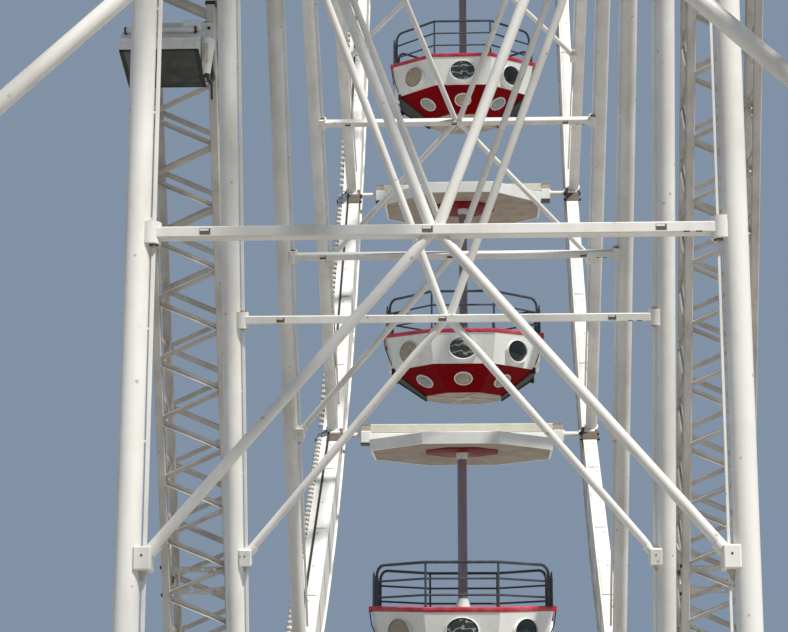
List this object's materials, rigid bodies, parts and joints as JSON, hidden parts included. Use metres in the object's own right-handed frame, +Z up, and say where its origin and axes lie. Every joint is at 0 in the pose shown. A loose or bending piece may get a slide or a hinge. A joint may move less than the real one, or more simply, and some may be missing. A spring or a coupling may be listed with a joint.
{
  "type": "ferris wheel",
  "caption": "Tall transportable ferris wheel: open octagonal cabins hang level from two braced rims, on a hub held by four leaning lattice legs over a ground frame.",
  "frame": {"origin": "on the ground, under the middle of the hub", "axes": "+X along the axle to the right, +Y along the wheel's plane away from the viewer, +Z up"},
  "size_m": [6, 34.2436, 36.1798],
  "materials": {
    "white_steel": "white paint, slightly weathered",
    "cabin_white": "glossy white gel coat",
    "cabin_red": "glossy dark red gel coat",
    "trim_red": "faded red edge trim",
    "rail_steel": "dark grey paint, satin",
    "pole_paint": "grey mauve paint, satin",
    "porthole_glass": "clear, domed",
    "soffit": "bare moulded underside",
    "seat": "moulded bench",
    "black_steel": "black bolts and clips",
    "cable_black": "matt",
    "lamp_housing": "white paint",
    "lamp_glass": "clear cover"
  },
  "bodies": {
    "support": {"leg_left_near": "white_steel", "leg_left_far": "white_steel", "leg_right_near": "white_steel", "leg_right_far": "white_steel", "bearing_head_left": "white_steel", "bearing_head_right": "white_steel", "ground_frame": "white_steel", "floodlight": "lamp_housing"},
    "wheel": {"hub": "white_steel", "rim_left": "white_steel", "rim_right": "white_steel", "spoke_sector_1": "white_steel", "spoke_sector_2": "white_steel", "spoke_sector_3": "white_steel", "spoke_sector_4": "white_steel", "spoke_sector_5": "white_steel", "spoke_sector_6": "white_steel", "spoke_sector_7": "white_steel", "spoke_sector_8": "white_steel"},
    "cabin_01_body": {"cabin_01": "cabin_white"},
    "cabin_02_body": {"cabin_02": "cabin_white"},
    "cabin_03_body": {"cabin_03": "cabin_white"},
    "cabin_04_body": {"cabin_04": "cabin_white"},
    "cabin_05_body": {"cabin_05": "cabin_white"},
    "cabin_06_body": {"cabin_06": "cabin_white"},
    "cabin_07_body": {"cabin_07": "cabin_white"},
    "cabin_08_body": {"cabin_08": "cabin_white"},
    "cabin_09_body": {"cabin_09": "cabin_white"},
    "cabin_10_body": {"cabin_10": "cabin_white"},
    "cabin_11_body": {"cabin_11": "cabin_white"},
    "cabin_12_body": {"cabin_12": "cabin_white"},
    "cabin_13_body": {"cabin_13": "cabin_white"},
    "cabin_14_body": {"cabin_14": "cabin_white"},
    "cabin_15_body": {"cabin_15": "cabin_white"},
    "cabin_16_body": {"cabin_16": "cabin_white"},
    "cabin_17_body": {"cabin_17": "cabin_white"},
    "cabin_18_body": {"cabin_18": "cabin_white"},
    "cabin_19_body": {"cabin_19": "cabin_white"},
    "cabin_20_body": {"cabin_20": "cabin_white"},
    "cabin_21_body": {"cabin_21": "cabin_white"},
    "cabin_22_body": {"cabin_22": "cabin_white"},
    "cabin_23_body": {"cabin_23": "cabin_white"},
    "cabin_24_body": {"cabin_24": "cabin_white"}
  },
  "joints": [
    {"name": "wheel_spin", "type": "hinge", "parent": "support", "child": "wheel", "pos_m": [0, 0, 19.85], "axis": [1, 0, 0], "continuous": true},
    {"name": "cabin_01_swing", "type": "hinge", "parent": "wheel", "child": "cabin_01_body", "pos_m": [0, 3.32584, 3.94399], "axis": [1, 0, 0], "continuous": true},
    {"name": "cabin_02_swing", "type": "hinge", "parent": "wheel", "child": "cabin_02_body", "pos_m": [0, 7.32929, 5.34676], "axis": [1, 0, 0], "continuous": true},
    {"name": "cabin_03_swing", "type": "hinge", "parent": "wheel", "child": "cabin_03_body", "pos_m": [0, 10.83327, 7.73791], "axis": [1, 0, 0], "continuous": true},
    {"name": "cabin_04_swing", "type": "hinge", "parent": "wheel", "child": "cabin_04_body", "pos_m": [0, 13.59897, 10.95447], "axis": [1, 0, 0], "continuous": true},
    {"name": "cabin_05_swing", "type": "hinge", "parent": "wheel", "child": "cabin_05_body", "pos_m": [0, 15.43793, 14.77725], "axis": [1, 0, 0], "continuous": true},
    {"name": "cabin_06_swing", "type": "hinge", "parent": "wheel", "child": "cabin_06_body", "pos_m": [0, 16.22482, 18.94573], "axis": [1, 0, 0], "continuous": true},
    {"name": "cabin_07_swing", "type": "hinge", "parent": "wheel", "child": "cabin_07_body", "pos_m": [0, 15.90602, 23.17584], "axis": [1, 0, 0], "continuous": true},
    {"name": "cabin_08_swing", "type": "hinge", "parent": "wheel", "child": "cabin_08_body", "pos_m": [0, 14.50324, 27.17929], "axis": [1, 0, 0], "continuous": true},
    {"name": "cabin_09_swing", "type": "hinge", "parent": "wheel", "child": "cabin_09_body", "pos_m": [0, 12.11209, 30.68327], "axis": [1, 0, 0], "continuous": true},
    {"name": "cabin_10_swing", "type": "hinge", "parent": "wheel", "child": "cabin_10_body", "pos_m": [0, 8.89553, 33.44897], "axis": [1, 0, 0], "continuous": true},
    {"name": "cabin_11_swing", "type": "hinge", "parent": "wheel", "child": "cabin_11_body", "pos_m": [0, 5.07275, 35.28793], "axis": [1, 0, 0], "continuous": true},
    {"name": "cabin_12_swing", "type": "hinge", "parent": "wheel", "child": "cabin_12_body", "pos_m": [0, 0.90427, 36.07482], "axis": [1, 0, 0], "continuous": true},
    {"name": "cabin_13_swing", "type": "hinge", "parent": "wheel", "child": "cabin_13_body", "pos_m": [0, -3.32584, 35.75601], "axis": [1, 0, 0], "continuous": true},
    {"name": "cabin_14_swing", "type": "hinge", "parent": "wheel", "child": "cabin_14_body", "pos_m": [0, -7.32929, 34.35324], "axis": [1, 0, 0], "continuous": true},
    {"name": "cabin_15_swing", "type": "hinge", "parent": "wheel", "child": "cabin_15_body", "pos_m": [0, -10.83327, 31.96209], "axis": [1, 0, 0], "continuous": true},
    {"name": "cabin_16_swing", "type": "hinge", "parent": "wheel", "child": "cabin_16_body", "pos_m": [0, -13.59897, 28.74553], "axis": [1, 0, 0], "continuous": true},
    {"name": "cabin_17_swing", "type": "hinge", "parent": "wheel", "child": "cabin_17_body", "pos_m": [0, -15.43793, 24.92275], "axis": [1, 0, 0], "continuous": true},
    {"name": "cabin_18_swing", "type": "hinge", "parent": "wheel", "child": "cabin_18_body", "pos_m": [0, -16.22482, 20.75427], "axis": [1, 0, 0], "continuous": true},
    {"name": "cabin_19_swing", "type": "hinge", "parent": "wheel", "child": "cabin_19_body", "pos_m": [0, -15.90602, 16.52416], "axis": [1, 0, 0], "continuous": true},
    {"name": "cabin_20_swing", "type": "hinge", "parent": "wheel", "child": "cabin_20_body", "pos_m": [0, -14.50324, 12.52071], "axis": [1, 0, 0], "continuous": true},
    {"name": "cabin_21_swing", "type": "hinge", "parent": "wheel", "child": "cabin_21_body", "pos_m": [0, -12.11209, 9.01673], "axis": [1, 0, 0], "continuous": true},
    {"name": "cabin_22_swing", "type": "hinge", "parent": "wheel", "child": "cabin_22_body", "pos_m": [0, -8.89553, 6.25103], "axis": [1, 0, 0], "continuous": true},
    {"name": "cabin_23_swing", "type": "hinge", "parent": "wheel", "child": "cabin_23_body", "pos_m": [0, -5.07275, 4.41207], "axis": [1, 0, 0], "continuous": true},
    {"name": "cabin_24_swing", "type": "hinge", "parent": "wheel", "child": "cabin_24_body", "pos_m": [0, -0.90427, 3.62518], "axis": [1, 0, 0], "continuous": true}
  ],
  "couplings": [
    {"joint": "cabin_01_swing", "follows": "wheel_spin", "ratio": -1},
    {"joint": "cabin_02_swing", "follows": "wheel_spin", "ratio": -1},
    {"joint": "cabin_03_swing", "follows": "wheel_spin", "ratio": -1},
    {"joint": "cabin_04_swing", "follows": "wheel_spin", "ratio": -1},
    {"joint": "cabin_05_swing", "follows": "wheel_spin", "ratio": -1},
    {"joint": "cabin_06_swing", "follows": "wheel_spin", "ratio": -1},
    {"joint": "cabin_07_swing", "follows": "wheel_spin", "ratio": -1},
    {"joint": "cabin_08_swing", "follows": "wheel_spin", "ratio": -1},
    {"joint": "cabin_09_swing", "follows": "wheel_spin", "ratio": -1},
    {"joint": "cabin_10_swing", "follows": "wheel_spin", "ratio": -1},
    {"joint": "cabin_11_swing", "follows": "wheel_spin", "ratio": -1},
    {"joint": "cabin_12_swing", "follows": "wheel_spin", "ratio": -1},
    {"joint": "cabin_13_swing", "follows": "wheel_spin", "ratio": -1},
    {"joint": "cabin_14_swing", "follows": "wheel_spin", "ratio": -1},
    {"joint": "cabin_15_swing", "follows": "wheel_spin", "ratio": -1},
    {"joint": "cabin_16_swing", "follows": "wheel_spin", "ratio": -1},
    {"joint": "cabin_17_swing", "follows": "wheel_spin", "ratio": -1},
    {"joint": "cabin_18_swing", "follows": "wheel_spin", "ratio": -1},
    {"joint": "cabin_19_swing", "follows": "wheel_spin", "ratio": -1},
    {"joint": "cabin_20_swing", "follows": "wheel_spin", "ratio": -1},
    {"joint": "cabin_21_swing", "follows": "wheel_spin", "ratio": -1},
    {"joint": "cabin_22_swing", "follows": "wheel_spin", "ratio": -1},
    {"joint": "cabin_23_swing", "follows": "wheel_spin", "ratio": -1},
    {"joint": "cabin_24_swing", "follows": "wheel_spin", "ratio": -1}
  ]
}
